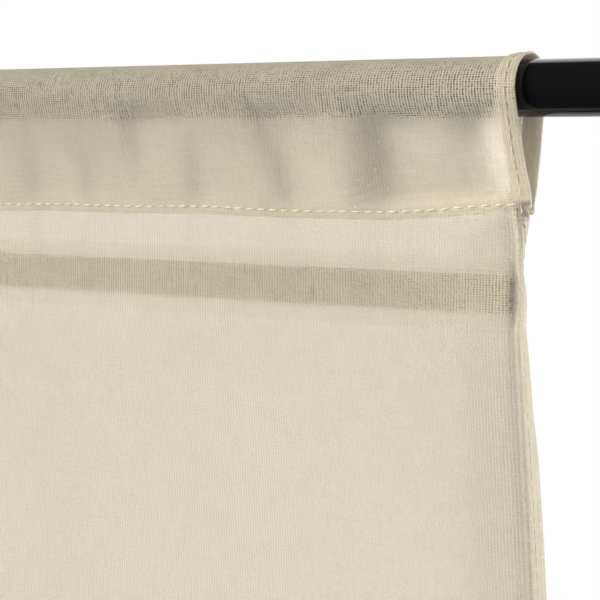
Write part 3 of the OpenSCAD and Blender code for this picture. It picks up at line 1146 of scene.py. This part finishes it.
# %% Floor
FLOOR_DROP = 0.06
FLOOR_HALF = 2.6
bm = bmesh.new()
bmesh.ops.create_grid(bm, x_segments=1, y_segments=1, size=FLOOR_HALF)
bmesh.ops.translate(bm, verts=bm.verts, vec=(0, 0, cad_box[0][2] - FLOOR_DROP))
floor_mesh = bpy.data.meshes.new("floor")
bm.to_mesh(floor_mesh)
bm.free()
floor_paint = bpy.data.materials.new("floor_paint")
floor_paint.use_nodes = True
floor_skin = floor_paint.node_tree.nodes["Principled BSDF"]
floor_skin.inputs["Base Color"].default_value = (0.72, 0.735, 0.77, 1)
floor_skin.inputs["Roughness"].default_value = 0.8
floor_mesh.materials.append(floor_paint)
floor = bpy.data.objects.new("floor", floor_mesh)
bpy.context.scene.collection.objects.link(floor)
floor.visible_glossy = False

# %% World and lamps
FRONT_LIGHT = 0.12
BACK_LIGHT = 0.33
BEHIND_CLOTH = 0.64  # the backdrop as the camera sees it through the weave
WARM = (1.0, 0.95, 0.84)
WHITE = (1.0, 1.0, 1.0)
FRONT_GLOSS = 0.06
BACK_GLOSS = 2.0
LOW_GLOSS = 0.47  # share of the backdrop's shine that is left below the horizon
SIDE_WHITE = (1.0, 0.985, 0.95)


def make_world():
    """A backdrop behind the blind, dim light in front of it, and plain white for the open view."""
    world = bpy.data.worlds.new("studio")
    bpy.context.scene.world = world
    world.use_nodes = True
    tree = world.node_tree
    back = tree.nodes["Background"]
    place = tree.nodes.new("ShaderNodeTexCoord")
    split = tree.nodes.new("ShaderNodeSeparateXYZ")
    tree.links.new(place.outputs["Generated"], split.inputs[0])
    path = tree.nodes.new("ShaderNodeLightPath")

    def choose(switch, otherwise, chosen):
        """One value where the switch is off, another where it is on."""
        node = tree.nodes.new("ShaderNodeMix")
        node.data_type = "FLOAT"
        wire(tree, switch, node.inputs[0])
        wire(tree, otherwise, node.inputs[2])
        wire(tree, chosen, node.inputs[3])
        return node.outputs[0]

    glow = range_node(tree, split.outputs[1], 0.0, 0.5, FRONT_LIGHT, BACK_LIGHT)
    gloss = range_node(tree, split.outputs[1], 0.3, 0.5, FRONT_GLOSS, BACK_GLOSS)
    gloss = math_node(tree, "MULTIPLY", gloss, range_node(tree, split.outputs[2], -0.4, 0.3, LOW_GLOSS, 1.0))
    through = math_node(tree, "GREATER_THAN", path.outputs["Transparent Depth"], 0.5)
    open_view = math_node(tree, "SUBTRACT", path.outputs["Is Camera Ray"], through)
    seen = choose(path.outputs["Is Glossy Ray"], glow, gloss)
    seen = choose(path.outputs["Is Camera Ray"], seen, choose(through, 1.0, BEHIND_CLOTH))
    tree.links.new(seen, back.inputs["Strength"])
    neutral = math_node(tree, "MAXIMUM", path.outputs["Is Glossy Ray"], open_view)
    tree.links.new(mix_colour(tree, neutral, WARM, WHITE), back.inputs["Color"])


make_world()


def soft_box(name, place, aim, size, power, colour):
    """A square lamp that the rod doesn't mirror."""
    lamp = bpy.data.lights.new(name, "AREA")
    lamp.energy = power
    lamp.size = size
    lamp.color = colour
    box = bpy.data.objects.new(name, lamp)
    box.location = place
    box.rotation_euler = (Vector(aim) - box.location).to_track_quat("-Z", "Y").to_euler()
    box.visible_glossy = False
    bpy.context.scene.collection.objects.link(box)


soft_box("key", (-11.5, -7.5, 5.2), (0.1, 0.0, -0.3), 4.5, 3830.0, WARM)
soft_box("side", (3.0, 0.55, 0.3), (0.2, 0.0, -0.3), 1.2, 95.0, SIDE_WHITE)
cycles = bpy.context.scene.cycles
cycles.max_bounces = 24
cycles.diffuse_bounces = 12
cycles.transmission_bounces = 24
cycles.transparent_max_bounces = 32

# %% [markdown]
# ## Camera
# The view is from the right and a little above the seam, close to the blind's top right corner. The lens
# and the place were worked out from the slopes of the rod, the seam and the batten in the photograph.

# %% Camera
VIEW_YAW = 35.16
VIEW_DOWN = 4.69
FOCAL_PX = 1985.0
IMAGE_PX = 600.0
EYE_FROM_EDGE = Vector((262.0, -483.4, -13.4))
lens = bpy.data.cameras.new("camera")
lens.sensor_width = 36.0
lens.lens = lens.sensor_width * FOCAL_PX / IMAGE_PX
lens.clip_start = 0.01
camera = bpy.data.objects.new("camera", lens)
camera.location = (EYE_FROM_EDGE + Vector((pattern_half, 0, 0))) * MM
camera.rotation_euler = (math.radians(90 - VIEW_DOWN), 0, math.radians(VIEW_YAW))
bpy.context.scene.collection.objects.link(camera)
bpy.context.scene.camera = camera
bpy.context.scene.view_settings.view_transform = "Standard"
